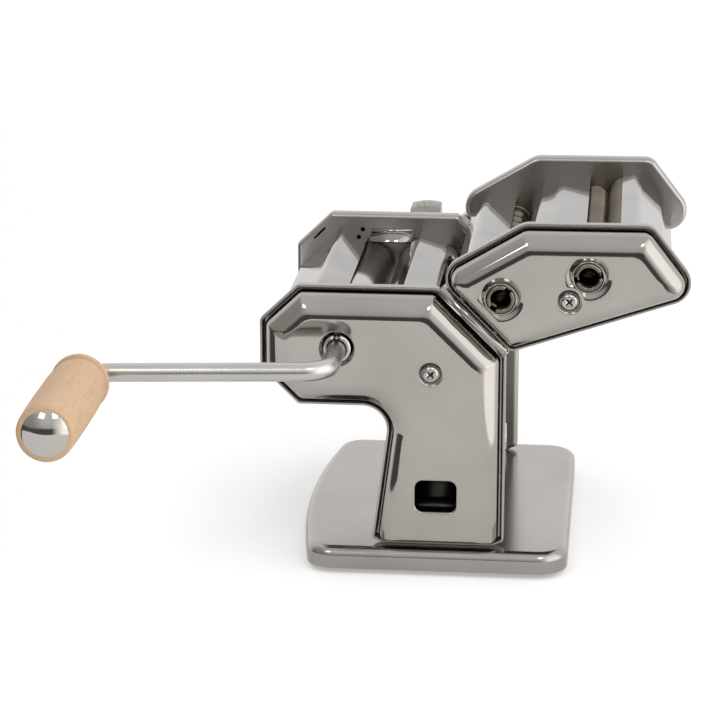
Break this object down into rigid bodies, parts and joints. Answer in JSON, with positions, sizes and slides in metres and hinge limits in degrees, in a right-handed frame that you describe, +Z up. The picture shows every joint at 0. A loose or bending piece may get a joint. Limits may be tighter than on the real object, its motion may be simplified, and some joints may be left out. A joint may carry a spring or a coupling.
{
  "type": "pasta machine",
  "caption": "Hand-cranked chrome pasta sheet roller on a pressed base, with a thickness knob, a wooden crank grip and a lift-off noodle cutter on its rear slope.",
  "frame": {"origin": "centre of the base's footprint on the table", "axes": "+X towards the noodle cutter, +Y away from the crank, +Z up"},
  "size_m": [0.3112, 0.3614, 0.1855],
  "materials": {
    "chrome": "polished",
    "steel": "turned",
    "nylon": "satin",
    "comb_steel": "satin",
    "black_steel": "blackened",
    "rubber": "matte",
    "knob_plastic": "satin",
    "beech": "oiled"
  },
  "bodies": {
    "frame": {"base_plate": "chrome", "rubber_feet": "rubber", "foot_brackets": "steel", "base_screws": "steel", "bracket_screws": "steel", "crank_side_plate": "chrome", "knob_side_plate": "chrome", "crank_side_cover": "chrome", "knob_side_cover": "chrome", "cover_screws": "steel", "front_hood": "chrome", "rear_hood": "chrome", "tie_rods": "steel", "tie_screws": "steel", "drive_bushes": "nylon", "dough_guides": "chrome", "front_scraper": "comb_steel", "rear_scraper": "comb_steel", "carriage_guides": "steel", "dial_plate": "steel", "knob_bush": "nylon", "clamp_strap": "black_steel", "slide_strips": "chrome"},
    "carriage": {"roller_carriage": "steel", "carriage_bushes": "nylon"},
    "drive": {"drive_roller": "steel", "drive_gear": "steel"},
    "gap": {"gap_roller": "steel", "gap_gear": "steel"},
    "knob": {"thickness_knob": "knob_plastic", "eccentric_shaft": "steel", "knob_screw": "steel"},
    "crank": {"crank_arm": "chrome", "crank_pin": "steel"},
    "grip": {"wooden_grip": "beech", "grip_cap": "chrome"},
    "cutter": {"cutter_crank_plate": "chrome", "cutter_far_plate": "chrome", "cutter_cover": "chrome", "cutter_far_cover": "chrome", "cutter_left_hood": "chrome", "cutter_mid_hood": "chrome", "cutter_right_hood": "chrome", "cutter_rails": "chrome", "rail_rivets": "steel", "cutter_tie_rods": "steel", "cutter_tie_screws": "steel", "cutter_cover_screws": "steel", "cutter_bushes": "nylon", "wide_combs": "comb_steel", "fine_combs": "comb_steel"},
    "wide_drive": {"wide_drive_roller": "steel", "wide_drive_gear": "steel"},
    "wide_mate": {"wide_mate_roller": "steel", "wide_mate_gear": "steel"},
    "fine_drive": {"fine_drive_roller": "steel", "fine_drive_gear": "steel"},
    "fine_mate": {"fine_mate_roller": "steel", "fine_mate_gear": "steel"}
  },
  "joints": [
    {"name": "drive_spin", "type": "hinge", "parent": "frame", "child": "drive", "pos_m": [-0.046, 0, 0.1207], "axis": [0, 1, 0], "continuous": true},
    {"name": "crank_pull", "type": "slide", "parent": "drive", "child": "crank", "axis": [0, -1, 0], "range_m": [0, 0.06]},
    {"name": "grip_spin", "type": "hinge", "parent": "crank", "child": "grip", "pos_m": [-0.16594, -0.2, 0.11704], "axis": [0, 1, 0], "continuous": true},
    {"name": "knob_turn", "type": "hinge", "parent": "frame", "child": "knob", "pos_m": [-0.015, 0.1, 0.1207], "axis": [0, 1, 0], "range_deg": [-60.05, 60.05]},
    {"name": "carriage_slide", "type": "slide", "parent": "frame", "child": "carriage", "axis": [1, 0, 0], "range_m": [-0.0012, 0.0012]},
    {"name": "gap_spin", "type": "hinge", "parent": "carriage", "child": "gap", "pos_m": [-0.015, 0, 0.1207], "axis": [0, 1, 0], "continuous": true},
    {"name": "cutter_lift", "type": "slide", "parent": "frame", "child": "cutter", "axis": [-0.7071, 0, 0.7071], "range_m": [0, 0.06]},
    {"name": "wide_spin", "type": "hinge", "parent": "cutter", "child": "wide_drive", "pos_m": [0.0364, 0, 0.1491], "axis": [0, 1, 0], "continuous": true},
    {"name": "wide_mate_spin", "type": "hinge", "parent": "cutter", "child": "wide_mate", "pos_m": [0.0536, 0, 0.1544], "axis": [0, 1, 0], "continuous": true},
    {"name": "fine_spin", "type": "hinge", "parent": "cutter", "child": "fine_drive", "pos_m": [0.08, 0, 0.1613], "axis": [0, 1, 0], "continuous": true},
    {"name": "fine_mate_spin", "type": "hinge", "parent": "cutter", "child": "fine_mate", "pos_m": [0.0972, 0, 0.1666], "axis": [0, 1, 0], "continuous": true}
  ],
  "couplings": [
    {"joint": "gap_spin", "follows": "drive_spin", "ratio": -1},
    {"joint": "knob_turn", "follows": "carriage_slide", "rad_per_m": 872.66},
    {"joint": "wide_mate_spin", "follows": "wide_spin", "ratio": -1},
    {"joint": "fine_mate_spin", "follows": "fine_spin", "ratio": -1}
  ]
}
